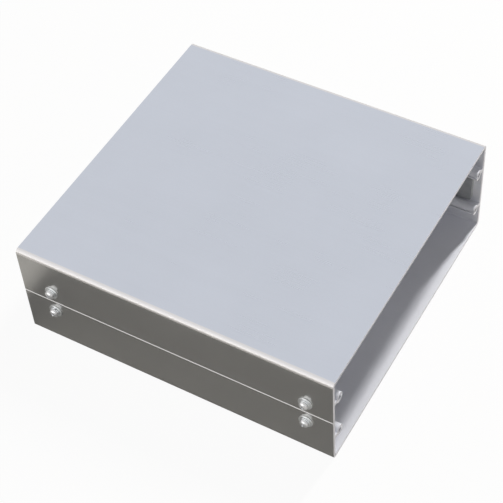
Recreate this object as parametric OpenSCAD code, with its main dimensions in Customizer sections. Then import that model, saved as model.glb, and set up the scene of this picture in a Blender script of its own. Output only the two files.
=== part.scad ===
// Extruded aluminium enclosure, open at both ends.
// Two U-shaped half shells of one profile meet at mid height. Four plates
// inside the side walls bridge the seam, and eight M3 screws with spring and
// flat washers draw the walls onto them. The half shells carry C-shaped screw
// ports along their side walls, for end panels that aren't fitted here.
// X runs along the extrusion and Y across it. The origin is at the middle of
// the underside.

/* [Enclosure] */
// Length of the extrusion, from open end to open end
length = 210; // [150:1:400]
// Width over the side walls
width = 203; // [120:1:320]
// Height over both half shells
height = 72.5; // [56:0.5:140]
// Thickness of the side walls
side_wall = 2; // [1.5:0.1:3]
// Thickness of the top and of the bottom
deck = 2; // [1.5:0.1:4]
// Radius of the long outer edges
edge_r = 2.5; // [1:0.1:4]
// Radius of the long inner corners
inner_r = 1.2; // [0.4:0.1:3]
// Bevel along the outside of the seam, on each half shell
seam_bevel = 0.4; // [0.1:0.1:0.8]

/* [Screw ports] */
// Bore of a port, for a thread-forming M4 end screw
port_bore = 3.6; // [2.5:0.1:4]
// Thickness of the wall round the bore
port_wall = 1.6; // [1.2:0.1:2]
// Width of the slot along a port
port_slot = 1.5; // [0.8:0.1:2]
// Distance from the outer side face to the axis of a port
port_inset = 7.8; // [7:0.1:14]
// Distance from the seam to the axis of a port
port_from_seam = 16; // [15:0.1:20]
// Thickness of the web that joins a port to its side wall
port_web = 2.4; // [1.6:0.1:4]

/* [Joining plates] */
// Length of a plate
plate_l = 25; // [16:0.5:40]
// Thickness of a plate
plate_t = 3; // [2:0.1:5]
// Gap between a plate and the port beside it
plate_gap = 0.6; // [0.2:0.1:1]
// Radius of the corners of a plate
plate_corner_r = 1.5; // [0.5:0.1:2.5]

/* [Side screws] */
// Distance from the left end to its screws
screw_left_inset = 21; // [14:0.5:40]
// Distance from the right end to its screws
screw_right_inset = 17.5; // [14:0.5:40]
// Distance from the seam to a screw
screw_from_seam = 8.75; // [6:0.05:9]
// Thread diameter of a screw
screw_d = 3; // [2.5:0.5:4]
// Length of a screw under its head
screw_l = 8; // [6:0.5:16]
// Diameter of the pan head
head_d = 5.6; // [5:0.1:8]
// Height of the pan head
head_h = 2.4; // [1.6:0.1:3.5]
// Radius of the rounded rim of the head
head_rim_r = 1; // [0.4:0.1:1.6]
// Radius of the crown on top of the head
head_crown_r = 5; // [4:0.5:30]
// Span of the cross recess
recess_span = 3; // [2.4:0.1:4.4]
// Width of one arm of the cross recess
recess_arm = 0.8; // [0.5:0.1:1.1]
// Depth of the cross recess
recess_depth = 1.5; // [0.8:0.1:2]
// Clearance of a screw in a half shell, all round
shell_clearance = 0.25; // [0.1:0.05:0.5]
// Clearance of a screw in its washers, all round
washer_clearance = 0.15; // [0.1:0.05:0.3]
// Clearance that stands for the thread between a screw and a plate
thread_clearance = 0.05; // [0.02:0.01:0.1]

/* [Washers] */
// Outer diameter of a flat washer
flat_washer_d = 9; // [7:0.1:12]
// Thickness of a flat washer
flat_washer_t = 0.8; // [0.5:0.1:1.5]
// Outer diameter of a spring washer
spring_washer_d = 6.2; // [5.6:0.1:8]
// Thickness of a spring washer
spring_washer_t = 0.8; // [0.6:0.1:1.5]
// Width of the split in a spring washer
spring_washer_split = 0.7; // [0.4:0.1:1.2]
// Slant of the split in a spring washer, in degrees
spring_washer_slant = 25; // [0:1:40]

/* [Hidden] */
$fn = 64;
cut = 1;                     // how far a cutting solid runs past a face
half_h = height / 2;
port_d = port_bore + 2 * port_wall;
plate_h = 2 * (port_from_seam - port_d / 2 - plate_gap);
stack_t = flat_washer_t + spring_washer_t;
tip_chamfer = screw_d / 10;

SIDES = ["near", "far"];
ENDS = ["left", "right"];
HALVES = ["lower", "upper"];
PLATES = [for (s = SIDES) for (e = ENDS) str(s, "_", e)];
FIXINGS = [for (s = SIDES) for (e = ENDS) for (h = HALVES) str(s, "_", e, "_", h)];

// -1 for near, left and lower, and 1 for far, right and upper
function sign_of(i) = 2 * i - 1;
function end_x(end) = end < 0 ? screw_left_inset - length / 2 : length / 2 - screw_right_inset;

// What lies between a square corner at the origin and its fillet of radius r
module corner_2d(r) {
    difference() {
        square(r);
        translate([r, r]) circle(r);
    }
}

// Screw port on the left side wall, its axis at the origin, open to the right
module port_2d() {
    difference() {
        union() {
            circle(d = port_d);
            translate([side_wall / 2 - port_inset, -port_web / 2])
                square([port_inset - side_wall / 2, port_web]);
        }
        circle(d = port_bore);
        translate([0, -port_slot / 2]) square([port_d, port_slot]);
    }
}

// Left half of the U profile, its outer corner at the origin and its seam on top
module half_profile_2d() {
    difference() {
        square([width / 2, half_h]);
        translate([side_wall, deck]) square([width, height]);
        corner_2d(edge_r);
        translate([0, half_h]) rotate(-90) polygon([[0, 0], [seam_bevel, 0], [0, seam_bevel]]);
    }
    translate([side_wall, deck]) corner_2d(inner_r);
    translate([port_inset, half_h - port_from_seam]) port_2d();
}

module profile_2d() {
    translate([-width / 2, 0]) half_profile_2d();
    mirror([1, 0]) translate([-width / 2, 0]) half_profile_2d();
}

// Carries a child from the local frame of a fixing, z outwards, onto its side wall
module on_wall(side, end, half) {
    translate([end_x(end), side * width / 2, half_h + half * screw_from_seam])
        rotate([-90 * side, 0, 0])
            children();
}

module half_shell(half) {
    color("gainsboro") difference() {
        translate([0, 0, half_h])
            mirror([0, 0, half > 0 ? 1 : 0])
                translate([-length / 2, 0, -half_h])
                    rotate([90, 0, 90]) linear_extrude(length) profile_2d();
        for (side = [-1, 1]) for (end = [-1, 1])
            on_wall(side, end, half)
                translate([0, 0, -side_wall - cut])
                    cylinder(d = screw_d + 2 * shell_clearance, h = side_wall + 2 * cut);
    }
}

// Flat plate with rounded corners, lying on the inside of a side wall across the seam
module joining_plate(side, end) {
    color("darkgray") difference() {
        translate([end_x(end), side * (width / 2 - side_wall), half_h])
            rotate([90 * side, 0, 0]) linear_extrude(plate_t) difference() {
                square([plate_l, plate_h], center = true);
                for (sx = [-1, 1]) for (sy = [-1, 1])
                    scale([sx, sy]) translate([-plate_l / 2, -plate_h / 2]) corner_2d(plate_corner_r);
            }
        for (half = [-1, 1])
            on_wall(side, end, half)
                translate([0, 0, -side_wall - plate_t - cut])
                    cylinder(d = screw_d + 2 * thread_clearance, h = plate_t + 2 * cut);
    }
}

// Half section of the pan head, with its crown and rounded rim
module head_2d() {
    rim = min(head_rim_r, head_h / 2);
    intersection() {
        union() {
            square([head_d / 2 - rim, head_h]);
            square([head_d / 2, head_h - rim]);
            translate([head_d / 2 - rim, head_h - rim]) circle(rim);
        }
        translate([0, head_h - head_crown_r]) circle(head_crown_r, $fn = 128);
    }
}

// Cross recess, its mouth at z = 0, narrowing downwards
module cross_recess() {
    taper = (recess_span / 2 - recess_arm) / recess_depth;
    intersection() {
        for (a = [0, 90]) rotate(a)
            translate([-recess_span / 2, -recess_arm / 2, -recess_depth])
                cube([recess_span, recess_arm, recess_depth + cut]);
        translate([0, 0, -recess_depth])
            cylinder(r1 = recess_arm, r2 = recess_span / 2 + taper * cut, h = recess_depth + cut);
    }
}

// Pan head screw, the wall's face at z = 0 and the washers between wall and head
module side_screw(turn) {
    color("silver") translate([0, 0, stack_t]) rotate(turn) {
        difference() {
            rotate_extrude() head_2d();
            translate([0, 0, head_h]) cross_recess();
        }
        translate([0, 0, tip_chamfer - screw_l]) cylinder(d = screw_d, h = screw_l);
        translate([0, 0, -screw_l])
            cylinder(d1 = screw_d - 2 * tip_chamfer, d2 = screw_d, h = tip_chamfer);
    }
}

// Split ring with a slanted gap
module spring_washer(turn) {
    color("lightgray") translate([0, 0, flat_washer_t]) rotate(turn) difference() {
        cylinder(d = spring_washer_d, h = spring_washer_t);
        translate([0, 0, -cut]) cylinder(d = screw_d + 2 * washer_clearance, h = spring_washer_t + 2 * cut);
        translate([0, 0, spring_washer_t / 2]) rotate([spring_washer_slant, 0, 0])
            translate([0, -spring_washer_split / 2, -spring_washer_d / 2])
                cube([spring_washer_d, spring_washer_split, spring_washer_d]);
    }
}

module flat_washer() {
    color("lightgray") difference() {
        cylinder(d = flat_washer_d, h = flat_washer_t);
        translate([0, 0, -cut]) cylinder(d = screw_d + 2 * washer_clearance, h = flat_washer_t + 2 * cut);
    }
}

for (h = [0, 1])
    half_shell(sign_of(h));

for (s = [0, 1]) for (e = [0, 1])
    joining_plate(sign_of(s), sign_of(e));

for (s = [0, 1]) for (e = [0, 1]) for (h = [0, 1]) {
    fixing = str(SIDES[s], "_", ENDS[e], "_", HALVES[h]);
    turn = 37 * (4 * s + 2 * e + h);
    on_wall(sign_of(s), sign_of(e), sign_of(h)) side_screw(turn);
    on_wall(sign_of(s), sign_of(e), sign_of(h)) spring_washer(2 * turn);
    on_wall(sign_of(s), sign_of(e), sign_of(h)) flat_washer();
}
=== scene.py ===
import math

import bpy
from mathutils import Matrix, Vector


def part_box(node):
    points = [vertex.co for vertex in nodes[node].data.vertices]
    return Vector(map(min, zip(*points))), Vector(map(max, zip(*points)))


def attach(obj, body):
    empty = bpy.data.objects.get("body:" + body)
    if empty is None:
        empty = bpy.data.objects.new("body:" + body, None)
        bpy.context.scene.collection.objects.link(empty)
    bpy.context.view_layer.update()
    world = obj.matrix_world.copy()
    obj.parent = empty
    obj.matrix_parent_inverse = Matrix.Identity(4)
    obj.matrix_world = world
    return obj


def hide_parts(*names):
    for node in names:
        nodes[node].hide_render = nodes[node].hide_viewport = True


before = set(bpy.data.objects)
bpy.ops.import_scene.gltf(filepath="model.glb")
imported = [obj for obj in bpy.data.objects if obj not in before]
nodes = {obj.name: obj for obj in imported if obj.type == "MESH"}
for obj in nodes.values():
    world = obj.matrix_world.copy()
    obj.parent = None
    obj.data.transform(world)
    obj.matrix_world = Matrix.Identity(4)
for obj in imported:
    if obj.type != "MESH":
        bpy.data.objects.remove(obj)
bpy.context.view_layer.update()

mm = 0.001
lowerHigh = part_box("lower_shell")[1]
upperLow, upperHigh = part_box("upper_shell")
seamHeight = (lowerHigh.z + upperLow.z) / 2
halfLength = upperHigh.x
halfWidth = upperHigh.y
wall = 2 * mm  # the thickness of the shells' walls and decks

camera = {
    "target": (-0.38, -8.69, 30.22),  # mm, the point that the lens looks at
    "azimuth": 32.99,
    "elevation": 49.59,
    "roll": -4.45,
    "distance": 902.7,  # mm
    "lens": 104.5,  # mm, on the sensor width below
    "sensor": 36,
    "clipStart": 0.01,  # m
    "clipEnd": 50,
}


def makeCamera():
    a = math.radians(camera["azimuth"])
    e = math.radians(camera["elevation"])
    back = Vector((math.sin(a) * math.cos(e), -math.cos(a) * math.cos(e), math.sin(e)))
    data = bpy.data.cameras.new("camera")
    data.lens = camera["lens"]
    data.sensor_width = camera["sensor"]
    data.clip_start = camera["clipStart"]
    data.clip_end = camera["clipEnd"]
    cam = bpy.data.objects.new("camera", data)
    bpy.context.scene.collection.objects.link(cam)
    turn = (-back).to_track_quat("-Z", "Y").to_matrix().to_4x4()
    roll = Matrix.Rotation(math.radians(camera["roll"]), 4, "Z")
    place = Vector(camera["target"]) * mm + back * camera["distance"] * mm
    cam.matrix_world = Matrix.Translation(place) @ turn @ roll
    bpy.context.scene.camera = cam


makeCamera()
print("camera placed")


# small helpers for node trees: a value or another node's output goes into a socket
def feed(tree, socket, value):
    if isinstance(value, bpy.types.NodeSocket):
        tree.links.new(value, socket)
    elif value is not None:
        socket.default_value = value


def calc(tree, operation, a, b=None, c=None, clamp=False):
    node = tree.nodes.new("ShaderNodeMath")
    node.operation = operation
    node.use_clamp = clamp
    for socket, value in zip(node.inputs, (a, b, c)):
        feed(tree, socket, value)
    return node.outputs[0]


def remap(tree, value, low, high, toLow=0.0, toHigh=1.0, kind="SMOOTHSTEP"):
    node = tree.nodes.new("ShaderNodeMapRange")
    node.interpolation_type = kind
    feed(tree, node.inputs["Value"], value)
    feed(tree, node.inputs["From Min"], low)
    feed(tree, node.inputs["From Max"], high)
    feed(tree, node.inputs["To Min"], toLow)
    feed(tree, node.inputs["To Max"], toHigh)
    return node.outputs["Result"]


def blendColor(tree, factor, a, b, kind="MIX"):
    node = tree.nodes.new("ShaderNodeMix")
    node.data_type = "RGBA"
    node.blend_type = kind
    feed(tree, node.inputs["Factor"], factor)
    feed(tree, node.inputs[6], (*a, 1) if isinstance(a, tuple) else a)
    feed(tree, node.inputs[7], (*b, 1) if isinstance(b, tuple) else b)
    return node.outputs[2]


def blendValue(tree, factor, a, b):
    node = tree.nodes.new("ShaderNodeMix")
    feed(tree, node.inputs["Factor"], factor)
    feed(tree, node.inputs[2], a)
    feed(tree, node.inputs[3], b)
    return node.outputs[0]


def noise(tree, vector, scale=1.0, detail=2.0, roughness=0.5):
    node = tree.nodes.new("ShaderNodeTexNoise")
    feed(tree, node.inputs["Vector"], vector)
    feed(tree, node.inputs["Scale"], scale)
    feed(tree, node.inputs["Detail"], detail)
    feed(tree, node.inputs["Roughness"], roughness)
    return node.outputs["Fac"]


# a noise value, which keeps mostly between 0.3 and 0.7, made into a small change round a level
def vary(tree, value, low, high):
    return remap(tree, value, 0.3, 0.7, low, high, "LINEAR")


def stretch(tree, vector, along, across, up):
    node = tree.nodes.new("ShaderNodeCombineXYZ")
    for socket, value in zip(node.inputs, (along, across, up)):
        feed(tree, socket, value)
    times = tree.nodes.new("ShaderNodeVectorMath")
    times.operation = "MULTIPLY"
    feed(tree, times.inputs[0], vector)
    tree.links.new(node.outputs[0], times.inputs[1])
    return times.outputs[0]


def split(tree, vector):
    node = tree.nodes.new("ShaderNodeSeparateXYZ")
    feed(tree, node.inputs[0], vector)
    return node.outputs[0], node.outputs[1], node.outputs[2]


# 1 for the rays by which metal and glass see their surroundings
def metalRays(tree, path):
    return calc(tree, "MAXIMUM", path["Is Glossy Ray"], path["Is Transmission Ray"])


studio = {
    "worldLevel": 0.14,  # what the room gives as light
    "worldSeen": 1.0,  # what the lens, metal and glass see of it
    "floorSize": 20,
    "floorColor": (0.82, 0.80, 0.765),
    "floorSeenByLens": 0.95,
    "floorSeenByMetal": 0.06,
    "lampAim": (0, 0, 0.03),
}
lamps = {
    # from behind and above, long across the object and narrow along it
    "backKey": {
        "power": 17.0, "size": (0.05, 0.5), "place": (0.200, 0.85, 1.12),
        "color": (1.0, 0.99, 0.975), "diffuse": True, "glossy": False,
    },
    # in front, seen in the rounded front edges
    "frontSoftbox": {
        "power": 1.7, "size": (1.2, 1.2), "place": (-0.36, -0.80, 0.56),
        "color": (1.0, 0.97, 0.93), "diffuse": False, "glossy": True,
    },
    # low in front, seen in the screw heads and in the foot of the bend
    "lowStrip": {
        "power": 0.55, "size": (0.9, 0.14), "place": (-0.42, -1.05, 0.10),
        "color": (1.0, 0.99, 0.98), "diffuse": False, "glossy": True,
    },
    # low on the right, into the open end
    "sideFill": {
        "power": 0.3, "size": (0.4, 0.4), "place": (1.0, -0.12, 0.62),
        "color": (1.0, 1.0, 1.0), "diffuse": True, "glossy": False,
    },
}


def makeWorld():
    world = bpy.data.worlds.new("studio")
    bpy.context.scene.world = world
    world.use_nodes = True
    tree = world.node_tree
    back = tree.nodes["Background"]
    path = tree.nodes.new("ShaderNodeLightPath").outputs
    metal = metalRays(tree, path)
    seen = calc(tree, "MAXIMUM", path["Is Camera Ray"], metal)
    strength = blendValue(tree, seen, studio["worldLevel"], studio["worldSeen"])
    feed(tree, back.inputs["Strength"], strength)
    back.inputs["Color"].default_value = (1, 1, 1, 1)


def makeFloor():
    bpy.ops.mesh.primitive_plane_add(size=studio["floorSize"], location=(0, 0, 0))
    floor = bpy.context.object
    floor.name = "floor"
    mat = bpy.data.materials.new("paleFloor")
    mat.use_nodes = True
    tree = mat.node_tree
    tree.nodes.clear()
    out = tree.nodes.new("ShaderNodeOutputMaterial")
    diffuse = tree.nodes.new("ShaderNodeBsdfDiffuse")
    diffuse.inputs["Color"].default_value = (*studio["floorColor"], 1)
    white = tree.nodes.new("ShaderNodeEmission")
    path = tree.nodes.new("ShaderNodeLightPath").outputs
    metal = metalRays(tree, path)
    forMetal = calc(tree, "MULTIPLY", metal, studio["floorSeenByMetal"])
    forLens = calc(tree, "MULTIPLY", path["Is Camera Ray"], studio["floorSeenByLens"])
    mix = tree.nodes.new("ShaderNodeMixShader")
    feed(tree, mix.inputs[0], calc(tree, "MAXIMUM", forLens, forMetal))
    tree.links.new(diffuse.outputs[0], mix.inputs[1])
    tree.links.new(white.outputs[0], mix.inputs[2])
    tree.links.new(mix.outputs[0], out.inputs["Surface"])
    floor.data.materials.append(mat)


def makeLamp(name):
    settings = lamps[name]
    data = bpy.data.lights.new(name, "AREA")
    data.shape = "RECTANGLE"
    data.size, data.size_y = settings["size"]
    data.energy = settings["power"]
    data.color = settings["color"]
    lamp = bpy.data.objects.new(name, data)
    bpy.context.scene.collection.objects.link(lamp)
    place = Vector(settings["place"])
    lamp.location = place
    lamp.rotation_euler = (Vector(studio["lampAim"]) - place).to_track_quat("-Z", "Y").to_euler()
    lamp.visible_diffuse = settings["diffuse"]
    lamp.visible_glossy = settings["glossy"]


makeWorld()
makeFloor()
for name in lamps:
    makeLamp(name)
bpy.context.scene.view_settings.view_transform = "Standard"
print("light and floor made")


def newGroup(name, inputs, outputs):
    group = bpy.data.node_groups.new(name, "ShaderNodeTree")
    for label, kind, value in inputs:
        socket = group.interface.new_socket(label, in_out="INPUT", socket_type="NodeSocket" + kind)
        socket.default_value = value
    for label, kind in outputs:
        group.interface.new_socket(label, in_out="OUTPUT", socket_type="NodeSocket" + kind)
    start = group.nodes.new("NodeGroupInput")
    end = group.nodes.new("NodeGroupOutput")
    return group, start.outputs, end.inputs


def useGroup(tree, group, **values):
    node = tree.nodes.new("ShaderNodeGroup")
    node.node_tree = group
    for label, value in values.items():
        feed(tree, node.inputs[label], value)
    return node.outputs


# edges that rubbing and deburring leave bright, and a painted highlight along every sharp edge: 1 on an
# edge, 0 on a face
def makeEdgeWearAndHighlight():
    group, given, gives = newGroup(
        "edgeWearAndHighlight",
        [("Radius", "Float", 0.0004), ("Amount", "Float", 1.0), ("Breakup", "Float", 300.0)],
        [("Mask", "Float")],
    )
    bevel = group.nodes.new("ShaderNodeBevel")
    bevel.samples = 6
    feed(group, bevel.inputs["Radius"], given["Radius"])
    facing = group.nodes.new("ShaderNodeNewGeometry")
    dot = group.nodes.new("ShaderNodeVectorMath")
    dot.operation = "DOT_PRODUCT"
    feed(group, dot.inputs[0], bevel.outputs[0])
    feed(group, dot.inputs[1], facing.outputs["Normal"])
    edge = remap(group, calc(group, "SUBTRACT", 1.0, dot.outputs["Value"]), 0.015, 0.14)
    place = group.nodes.new("ShaderNodeTexCoord").outputs["Object"]
    patchy = remap(group, noise(group, place, given["Breakup"], 3.0, 0.6), 0.35, 0.6, 0.55, 1.0)
    wornEdgeAndHighlight = calc(group, "MULTIPLY", edge, patchy)
    feed(group, gives["Mask"], calc(group, "MULTIPLY", wornEdgeAndHighlight, given["Amount"]))
    return group


# lines drawn along X by the die: a value round 0.5, and a height for bump
def makeDrawnLines():
    group, given, gives = newGroup(
        "drawnLines",
        [("Along", "Float", 3.0), ("Across", "Float", 900.0)],
        [("Value", "Float"), ("Height", "Float")],
    )
    place = group.nodes.new("ShaderNodeTexCoord").outputs["Object"]
    finePlace = stretch(group, place, given["Along"], given["Across"], given["Across"])
    fine = noise(group, finePlace, 1.0, 4.0, 0.6)
    coarser = calc(group, "MULTIPLY", given["Across"], 0.12)
    broad = noise(group, stretch(group, place, given["Along"], coarser, coarser), 1.0, 2.0, 0.5)
    feed(group, gives["Value"], blendValue(group, 0.4, fine, broad))
    feed(group, gives["Height"], fine)
    return group


# a slow, faint change over a surface, from anodising and from hands
def makeClouding():
    group, given, gives = newGroup(
        "clouding",
        [("Scale", "Float", 22.0), ("Speckle", "Float", 2600.0)],
        [("Cloud", "Float"), ("Grain", "Float")],
    )
    place = group.nodes.new("ShaderNodeTexCoord").outputs["Object"]
    feed(group, gives["Cloud"], noise(group, place, given["Scale"], 3.0, 0.55))
    feed(group, gives["Grain"], noise(group, place, given["Speckle"], 2.0, 0.6))
    return group


edgeWearAndHighlight = makeEdgeWearAndHighlight()
drawnLines = makeDrawnLines()
clouding = makeClouding()


def newMaterial(name):
    mat = bpy.data.materials.new(name)
    mat.use_nodes = True
    return mat, mat.node_tree, mat.node_tree.nodes["Principled BSDF"].inputs


def addBump(tree, shader, height, strength, distance):
    bump = tree.nodes.new("ShaderNodeBump")
    bump.inputs["Strength"].default_value = strength
    bump.inputs["Distance"].default_value = distance
    feed(tree, bump.inputs["Height"], height)
    tree.links.new(bump.outputs["Normal"], shader["Normal"])


shellFinish = {
    "deck": (0.565, 0.595, 0.665),
    # the side walls' colour is painted shade: a warmer, slightly darker tone than the deck's
    "side": (0.56, 0.556, 0.543),
    "inside": (0.84, 0.85, 0.90),
    "sawn": (0.80, 0.80, 0.85),
    # bare is the colour of worn edges, also used as a painted highlight on them
    "bareAndHighlight": (0.95, 0.94, 0.93),
    # painted highlight: the two bend colours below are lighter than the deck and side
    "bend": (0.71, 0.695, 0.70),
    "bendFootHighlight": (0.86, 0.84, 0.83),
    "seam": (0.60, 0.59, 0.59),
    "deckRoughness": 0.30,
    "sideRoughness": 0.20,
    "bendRoughness": 0.40,
    "insideRoughness": 0.50,
    "sawnRoughness": 0.38,
    "metallic": 0.85,
    "insideMetallic": 0.12,
    "sawnMetallic": 0.35,
    "wearAndHighlightRadius": 0.25 * mm,
    "wearAndHighlightAtSeam": 0.45,  # the bright edges, rubbed wear and painted highlight, show less on the narrow seam bevels
    "bump": 0.06,
    "bumpDepth": 0.05 * mm,
    "sawBump": 2.5,  # how much deeper the saw's lines are than the drawn ones
}
# where the zones of the profile begin and are full, in wall thicknesses
zones = {
    "inside": (0.75, 0.95),
    "bendBySide": (1.5, 1.1),
    "bendByDeck": (1.75, 1.3),
    "seam": (0.3, 0.2),
}


def inFrom(outer, zone):
    return [outer - wall * part for part in zones[zone]]


def makeShellMaterial():
    s = shellFinish
    mat, tree, shader = newMaterial("satinAnodisedShell")
    coords = tree.nodes.new("ShaderNodeTexCoord").outputs
    x, y, z = split(tree, coords["Object"])
    facing = split(tree, coords["Normal"])
    faceX, faceY, faceZ = [calc(tree, "ABSOLUTE", part) for part in facing]
    lines = useGroup(tree, drawnLines, Along=3.0, Across=900.0)
    clouds = useGroup(tree, clouding, Scale=20.0, Speckle=2600.0)
    wearAndHighlight = useGroup(tree, edgeWearAndHighlight, Radius=s["wearAndHighlightRadius"], Amount=1.0, Breakup=260.0)["Mask"]

    # where on the profile a point is
    sideOn = remap(tree, faceY, 0.55, 0.93)
    sawnOn = remap(tree, faceX, 0.8, 0.95)
    fromAxis = calc(tree, "ABSOLUTE", y)
    fromSeam = calc(tree, "ABSOLUTE", calc(tree, "SUBTRACT", z, seamHeight))
    awayFromSides = remap(tree, fromAxis, *inFrom(halfWidth, "inside"))
    awayFromDecks = remap(tree, fromSeam, *inFrom(seamHeight, "inside"))
    insideOn = calc(tree, "MULTIPLY", awayFromSides, awayFromDecks)
    # only the upper bends get the rougher finish and a painted highlight, a lighter colour where the front
    # edges catch the light
    nearSides = remap(tree, fromAxis, *inFrom(halfWidth, "bendBySide"))
    nearTop = remap(tree, z, *inFrom(upperHigh.z, "bendByDeck"))
    bendOn = calc(tree, "MULTIPLY", nearSides, nearTop)
    seamOn = remap(tree, fromSeam, *[wall * part for part in zones["seam"]])
    slanting = remap(tree, calc(tree, "MULTIPLY", faceY, faceZ), 0.02, 0.3)
    bevelOn = calc(tree, "MULTIPLY", seamOn, slanting)

    shades = vary(tree, clouds["Cloud"], 0.982, 1.012)
    shades = calc(tree, "MULTIPLY", shades, vary(tree, lines["Value"], 0.988, 1.012))
    shades = calc(tree, "MULTIPLY", shades, vary(tree, clouds["Grain"], 0.985, 1.015))
    # painted shade: the side walls take a warmer, slightly darker tone than the deck
    color = blendColor(tree, sideOn, s["deck"], s["side"])
    # painted highlight on the upper bends, lightest towards the side wall
    bend = blendColor(tree, remap(tree, faceY, 0.6, 0.93), s["bend"], s["bendFootHighlight"])
    color = blendColor(tree, bendOn, color, bend)
    color = blendColor(tree, bevelOn, color, s["seam"])
    color = blendColor(tree, insideOn, color, s["inside"])
    color = blendColor(tree, sawnOn, color, s["sawn"])
    # worn edges, brightened also as a painted highlight along sharp edges and the seam
    wearAndHighlight = calc(tree, "MULTIPLY", wearAndHighlight, blendValue(tree, seamOn, 1.0, s["wearAndHighlightAtSeam"]))
    color = blendColor(tree, wearAndHighlight, color, s["bareAndHighlight"])
    tone = tree.nodes.new("ShaderNodeVectorMath")
    tone.operation = "SCALE"
    feed(tree, tone.inputs[0], color)
    feed(tree, tone.inputs["Scale"], shades)
    feed(tree, shader["Base Color"], tone.outputs[0])

    rough = blendValue(tree, sideOn, s["deckRoughness"], s["sideRoughness"])
    rough = blendValue(tree, bendOn, rough, s["bendRoughness"])
    rough = blendValue(tree, insideOn, rough, s["insideRoughness"])
    rough = blendValue(tree, sawnOn, rough, s["sawnRoughness"])
    rough = calc(tree, "ADD", rough, vary(tree, lines["Value"], -0.03, 0.03))
    rough = calc(tree, "ADD", rough, vary(tree, clouds["Cloud"], -0.02, 0.02))
    feed(tree, shader["Roughness"], rough)

    metallic = blendValue(tree, insideOn, s["metallic"], s["insideMetallic"])
    metallic = blendValue(tree, sawnOn, metallic, s["sawnMetallic"])
    feed(tree, shader["Metallic"], metallic)

    # the saw leaves lines down the cut ends
    sawLines = noise(tree, stretch(tree, coords["Object"], 50.0, 2600.0, 160.0), 1.0, 3.0, 0.6)
    sawHeight = calc(tree, "MULTIPLY", sawLines, s["sawBump"])
    height = blendValue(tree, sawnOn, lines["Height"], sawHeight)
    addBump(tree, shader, height, s["bump"], s["bumpDepth"])
    return mat


plateFinish = {
    "dark": (0.40, 0.41, 0.40),
    "light": (0.50, 0.51, 0.51),
    "line": (0.60, 0.61, 0.62),
    "lineAmount": 0.35,
    "metallic": 0.85,
    "roughness": (0.30, 0.42),
    "wearAndHighlightRadius": 0.3 * mm,
    "bump": 0.25,
    "bumpDepth": 0.06 * mm,
}


# a machined or sheared face: fine lines along X, small scuffs, edges worn bright and given a painted
# highlight, a duller grain
def makePlateMaterial():
    s = plateFinish
    mat, tree, shader = newMaterial("millPlate")
    lines = useGroup(tree, drawnLines, Along=60.0, Across=1500.0)
    clouds = useGroup(tree, clouding, Scale=90.0, Speckle=4200.0)
    wearAndHighlight = useGroup(tree, edgeWearAndHighlight, Radius=s["wearAndHighlightRadius"], Amount=0.9, Breakup=400.0)["Mask"]
    color = blendColor(tree, remap(tree, clouds["Cloud"], 0.3, 0.7), s["dark"], s["light"])
    onLine = remap(tree, lines["Value"], 0.35, 0.65, 0.0, s["lineAmount"])
    color = blendColor(tree, onLine, color, s["line"])
    color = blendColor(tree, wearAndHighlight, color, shellFinish["bareAndHighlight"])
    feed(tree, shader["Base Color"], color)
    shader["Metallic"].default_value = s["metallic"]
    feed(tree, shader["Roughness"], vary(tree, clouds["Grain"], *s["roughness"]))
    addBump(tree, shader, lines["Height"], s["bump"], s["bumpDepth"])
    return mat


plating = {
    # the dark colour below is painted shade for the recess and the gaps between parts
    "paintedGapShade": (0.08, 0.08, 0.10),
    "paintedGapShadeAmount": 0.8,
    "gapRoughness": 0.25,
    "wornAndHighlightColor": (0.97, 0.97, 0.98),
    "dulling": 0.9,  # the darker tone of the clouding, as a part of the colour
    "metallic": 0.9,
    "wearAndHighlightRadius": 0.12 * mm,
    "bumpDepth": 0.03 * mm,
    "samples": 6,
}
platings = {
    "brightScrewPlating": {
        "color": (0.97, 0.98, 1.0), "roughness": 0.20, "scratches": 0.10, "gapReach": 1.1 * mm,
    },
    "zincWasherPlating": {
        "color": (0.97, 0.99, 1.0), "roughness": 0.28, "scratches": 0.20, "gapReach": 0.5 * mm,
    },
}


# bright plating: slightly rippled, edges worn bright and given a painted highlight, and painted shade
# darkening the recess and the gaps, which are also rougher
def makePlating(name):
    s = {**plating, **platings[name]}
    mat, tree, shader = newMaterial(name)
    place = tree.nodes.new("ShaderNodeTexCoord").outputs["Object"]
    clouds = useGroup(tree, clouding, Scale=700.0, Speckle=9000.0)
    wearAndHighlight = useGroup(tree, edgeWearAndHighlight, Radius=s["wearAndHighlightRadius"], Amount=0.8, Breakup=1500.0)["Mask"]
    gaps = tree.nodes.new("ShaderNodeAmbientOcclusion")
    gaps.samples = s["samples"]
    gaps.inputs["Distance"].default_value = s["gapReach"]
    # painted shade: ambient occlusion darkens the colour in the recess and between parts
    shadeInGaps = remap(tree, gaps.outputs["AO"], 0.75, 0.25)
    rubbed = noise(tree, stretch(tree, place, 900.0, 2600.0, 5200.0), 1.0, 3.0, 0.65)
    dull = tuple(part * s["dulling"] for part in s["color"])
    tint = blendColor(tree, remap(tree, clouds["Cloud"], 0.35, 0.65), dull, s["color"])
    tint = blendColor(tree, calc(tree, "MULTIPLY", shadeInGaps, s["paintedGapShadeAmount"]), tint, s["paintedGapShade"])
    tint = blendColor(tree, wearAndHighlight, tint, s["wornAndHighlightColor"])
    feed(tree, shader["Base Color"], tint)
    shader["Metallic"].default_value = s["metallic"]
    rough = vary(tree, clouds["Grain"], s["roughness"] * 0.8, s["roughness"] * 1.25)
    rough = calc(tree, "ADD", rough, calc(tree, "MULTIPLY", shadeInGaps, s["gapRoughness"]))
    feed(tree, shader["Roughness"], rough)
    addBump(tree, shader, rubbed, s["scratches"], s["bumpDepth"])
    return mat


shellMaterial = makeShellMaterial()
plateMaterial = makePlateMaterial()
screwMaterial = makePlating("brightScrewPlating")
washerMaterial = makePlating("zincWasherPlating")


def put(mat, *names):
    for name in names:
        slots = nodes[name].data.materials
        slots.clear()
        slots.append(mat)


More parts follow.
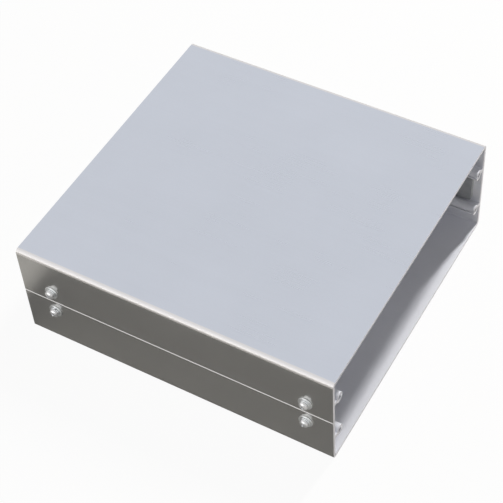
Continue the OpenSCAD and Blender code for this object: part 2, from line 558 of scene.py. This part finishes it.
put(shellMaterial, "lower_shell", "upper_shell")
put(plateMaterial, *[name for name in nodes if name.startswith("joining_plate")])
print("materials given")


def onlySelect(obj):
    bpy.ops.object.select_all(action="DESELECT")
    obj.select_set(True)
    bpy.context.view_layer.objects.active = obj


def applyModifier(obj, kind, **settings):
    onlySelect(obj)
    modifier = obj.modifiers.new(kind.lower(), kind)
    for key, value in settings.items():
        setattr(modifier, key, value)
    bpy.ops.object.modifier_apply(modifier=modifier.name)


mergeReach = 0.001 * mm


# an outline of (radius, height) points in mm as a wire in the XZ plane, or out of it by a third number
def makeOutline(name, points, closed):
    mesh = bpy.data.meshes.new(name)
    edges = [(i, i + 1) for i in range(len(points) - 1)]
    if closed:
        edges.append((len(points) - 1, 0))
    spots = [(r * mm, aside[0] * mm if aside else 0, h * mm) for r, h, *aside in points]
    mesh.from_pydata(spots, edges, [])
    obj = bpy.data.objects.new(name, mesh)
    bpy.context.scene.collection.objects.link(obj)
    return obj


def spinRound(obj, steps):
    onlySelect(obj)
    bpy.ops.object.mode_set(mode="EDIT")
    bpy.ops.mesh.select_all(action="SELECT")
    bpy.ops.mesh.spin(steps=steps, angle=math.tau, center=(0, 0, 0), axis=(0, 0, 1))
    bpy.ops.mesh.select_all(action="SELECT")
    bpy.ops.mesh.remove_doubles(threshold=mergeReach)
    bpy.ops.mesh.normals_make_consistent(inside=False)
    bpy.ops.object.mode_set(mode="OBJECT")


def arc(centerR, centerH, radius, start, end, steps):
    turns = [math.radians(start + (end - start) * i / steps) for i in range(steps + 1)]
    return [(centerR + radius * math.cos(t), centerH + radius * math.sin(t)) for t in turns]


def smooth(obj, angle):
    onlySelect(obj)
    bpy.ops.object.shade_smooth_by_angle(angle=math.radians(angle))


def softenEdges(obj, width, angle):
    applyModifier(
        obj, "BEVEL", width=width * mm, segments=2,
        limit_method="ANGLE", angle_limit=math.radians(angle),
    )


screwShape = {
    # mm, heights over the seat of the head; recessFoot and crestWidth are parts of the size at the top
    # and of half the pitch
    "headRadius": 2.78, "headHeight": 2.37, "crownRadius": 4.0, "rimRadius": 0.28,
    "neckRadius": 1.2, "majorRadius": 1.48, "minorRadius": 1.22, "pitch": 0.5,
    "length": 8.0, "plainLength": 1.2, "tipLength": 0.5,
    "rimFoot": 0.16, "neckFlare": 0.3, "tipTaper": 0.62, "tipShort": 0.04,
    "recessSpan": 3.2, "recessArm": 0.86, "recessDepth": 1.5, "recessFoot": (0.5, 0.8),
    "recessEdge": 0.09, "headEdge": 0.05, "crestWidth": 0.15, "steps": 56, "threadSteps": 28,
}


def makeRecessCutter():
    s = screwShape
    arms = []
    for turn in (0, 90):
        bpy.ops.mesh.primitive_cube_add(size=1)
        arm = bpy.context.object
        arm.scale = (s["recessSpan"] * mm, s["recessArm"] * mm, (s["recessDepth"] + 1) * mm)
        arm.location = (0, 0, (s["headHeight"] - (s["recessDepth"] - 1) / 2) * mm)
        bpy.ops.object.transform_apply(location=True, rotation=False, scale=True)
        bpy.ops.object.mode_set(mode="EDIT")
        bpy.ops.mesh.select_all(action="DESELECT")
        bpy.ops.object.mode_set(mode="OBJECT")
        for face in arm.data.polygons:
            face.select = face.normal.z < -0.5
        bpy.ops.object.mode_set(mode="EDIT")
        bpy.ops.transform.resize(value=(*s["recessFoot"], 1), center_override=(0, 0, 0))
        bpy.ops.object.mode_set(mode="OBJECT")
        arm.rotation_euler = (0, 0, math.radians(turn))
        bpy.ops.object.transform_apply(location=False, rotation=True, scale=False)
        arms.append(arm)
    applyModifier(arms[0], "BOOLEAN", operation="UNION", object=arms[1], solver="EXACT")
    bpy.data.objects.remove(arms[1])
    softenEdges(arms[0], s["recessEdge"], 40)
    return arms[0]


def makeThread():
    s = screwShape
    half = s["pitch"] / 2
    low = -s["length"] + s["tipLength"]
    ridge = [
        (s["minorRadius"], low),
        (s["majorRadius"], low + half * (1 - s["crestWidth"])),
        (s["majorRadius"], low + half * (1 + s["crestWidth"])),
        (s["minorRadius"], low + s["pitch"]),
    ]
    thread = makeOutline("thread", ridge, False)
    turns = int((s["length"] - s["plainLength"] - s["tipLength"]) / s["pitch"]) - 1
    applyModifier(
        thread, "SCREW", axis="Z", steps=s["threadSteps"], render_steps=s["threadSteps"], iterations=turns,
        screw_offset=s["pitch"] * mm, use_merge_vertices=True, merge_threshold=mergeReach,
    )
    return thread


def makeScrewMaster():
    s = screwShape
    crownFoot = s["headHeight"] - s["crownRadius"]
    reach = s["headRadius"] - s["rimRadius"] * 0.75
    tilt = math.degrees(math.asin(reach / s["crownRadius"]))
    crown = arc(0, crownFoot, s["crownRadius"], 90, 90 - tilt, 12)
    rimHeight = crown[-1][1] - s["rimRadius"] * 0.8
    rim = arc(s["headRadius"] - s["rimRadius"], rimHeight, s["rimRadius"], 42, 0, 4)
    neck, flare, foot = s["neckRadius"], s["neckFlare"], s["rimFoot"]
    end = -s["length"] + s["tipShort"]
    outline = [*crown, *rim, (s["headRadius"], foot), (s["headRadius"] - foot, 0.0)]
    outline += [(neck + flare, 0.0), (neck, -flare), (neck, -s["length"] + s["tipLength"])]
    outline += [(neck * s["tipTaper"], end), (0.0, end)]
    screw = makeOutline("screwMaster", outline, False)
    spinRound(screw, s["steps"])
    cutter = makeRecessCutter()
    applyModifier(screw, "BOOLEAN", operation="DIFFERENCE", object=cutter, solver="EXACT")
    bpy.data.objects.remove(cutter)
    softenEdges(screw, s["headEdge"], 38)
    thread = makeThread()
    onlySelect(screw)
    thread.select_set(True)
    bpy.ops.object.join()
    smooth(screw, 38)
    return screw


# a ring's section with rounded corners; slant moves it out of its plane with height
def roundedSection(inner, outer, low, high, radius, slant=0.0):
    corners = [
        (outer, high, 90, 0), (outer, low, 0, -90),
        (inner, low, 270, 180), (inner, high, 180, 90),
    ]
    points = []
    for r, h, start, end in corners:
        centerR = r - radius if r == outer else r + radius
        centerH = h - radius if h == high else h + radius
        points += arc(centerR, centerH, radius, start, end, 3)
    middle = (low + high) / 2
    return [(r, h, (h - middle) * slant) for r, h in points]


springShape = {
    # mm, and degrees for the opening
    "inner": 1.66, "outer": 3.08, "seat": 0.02, "height": 0.66, "edge": 0.14,
    "rise": 0.1, "opening": 13, "slant": 0.47, "steps": 52,
}


def makeSpringMaster():
    s = springShape
    top = s["seat"] + s["height"]
    section = roundedSection(s["inner"], s["outer"], s["seat"], top, s["edge"], s["slant"])
    ring = makeOutline("springMaster", section, True)
    applyModifier(
        ring, "SCREW", axis="Z", angle=math.radians(360 - s["opening"]), screw_offset=s["rise"] * mm,
        steps=s["steps"], render_steps=s["steps"], iterations=1, use_merge_vertices=False,
    )
    bpy.ops.object.mode_set(mode="EDIT")
    bpy.ops.mesh.select_all(action="DESELECT")
    bpy.ops.mesh.select_non_manifold()
    bpy.ops.mesh.edge_face_add()
    bpy.ops.mesh.select_all(action="SELECT")
    bpy.ops.mesh.normals_make_consistent(inside=False)
    bpy.ops.object.mode_set(mode="OBJECT")
    smooth(ring, 40)
    return ring


flatShape = {"inner": 1.68, "outer": 4.47, "height": 0.78, "edge": 0.2, "steps": 72}  # mm


def makeFlatMaster():
    s = flatShape
    section = roundedSection(s["inner"], s["outer"], 0.0, s["height"], s["edge"])
    ring = makeOutline("flatMaster", section, True)
    spinRound(ring, s["steps"])
    smooth(ring, 40)
    return ring


# seat is mm out from the wall's face; the turns, in degrees, keep the copies from looking alike
placing = {
    "side_screw": {"seat": 1.6, "firstTurn": 20, "turnStep": 37},
    "spring_washer": {"seat": 0.8, "firstTurn": 140, "turnStep": 74},
    "flat_washer": {"seat": 0.0, "firstTurn": 0, "turnStep": 51},
}


# each piece is a copy of a master with its own mesh, standing on the wall over its CAD node
def placeCopies(master, kind, mat):
    s = placing[kind]
    names = sorted(name for name in nodes if name.startswith(kind))
    for i, name in enumerate(names):
        low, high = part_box(name)
        center = (low + high) / 2
        outward = 1 if center.y > 0 else -1
        mesh = master.data.copy()
        place = Matrix.Translation((center.x, outward * (halfWidth + s["seat"] * mm), center.z))
        stand = Matrix.Rotation(math.radians(-90 * outward), 4, "X")
        turn = Matrix.Rotation(math.radians(s["firstTurn"] + s["turnStep"] * i), 4, "Z")
        mesh.transform(place @ stand @ turn)
        piece = bpy.data.objects.new("visual_" + name, mesh)
        bpy.context.scene.collection.objects.link(piece)
        mesh.materials.clear()
        mesh.materials.append(mat)
        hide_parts(name)
        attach(piece, "root")
    bpy.data.objects.remove(master)


placeCopies(makeScrewMaster(), "side_screw", screwMaterial)
placeCopies(makeSpringMaster(), "spring_washer", washerMaterial)
placeCopies(makeFlatMaster(), "flat_washer", washerMaterial)
print("screws and washers made")
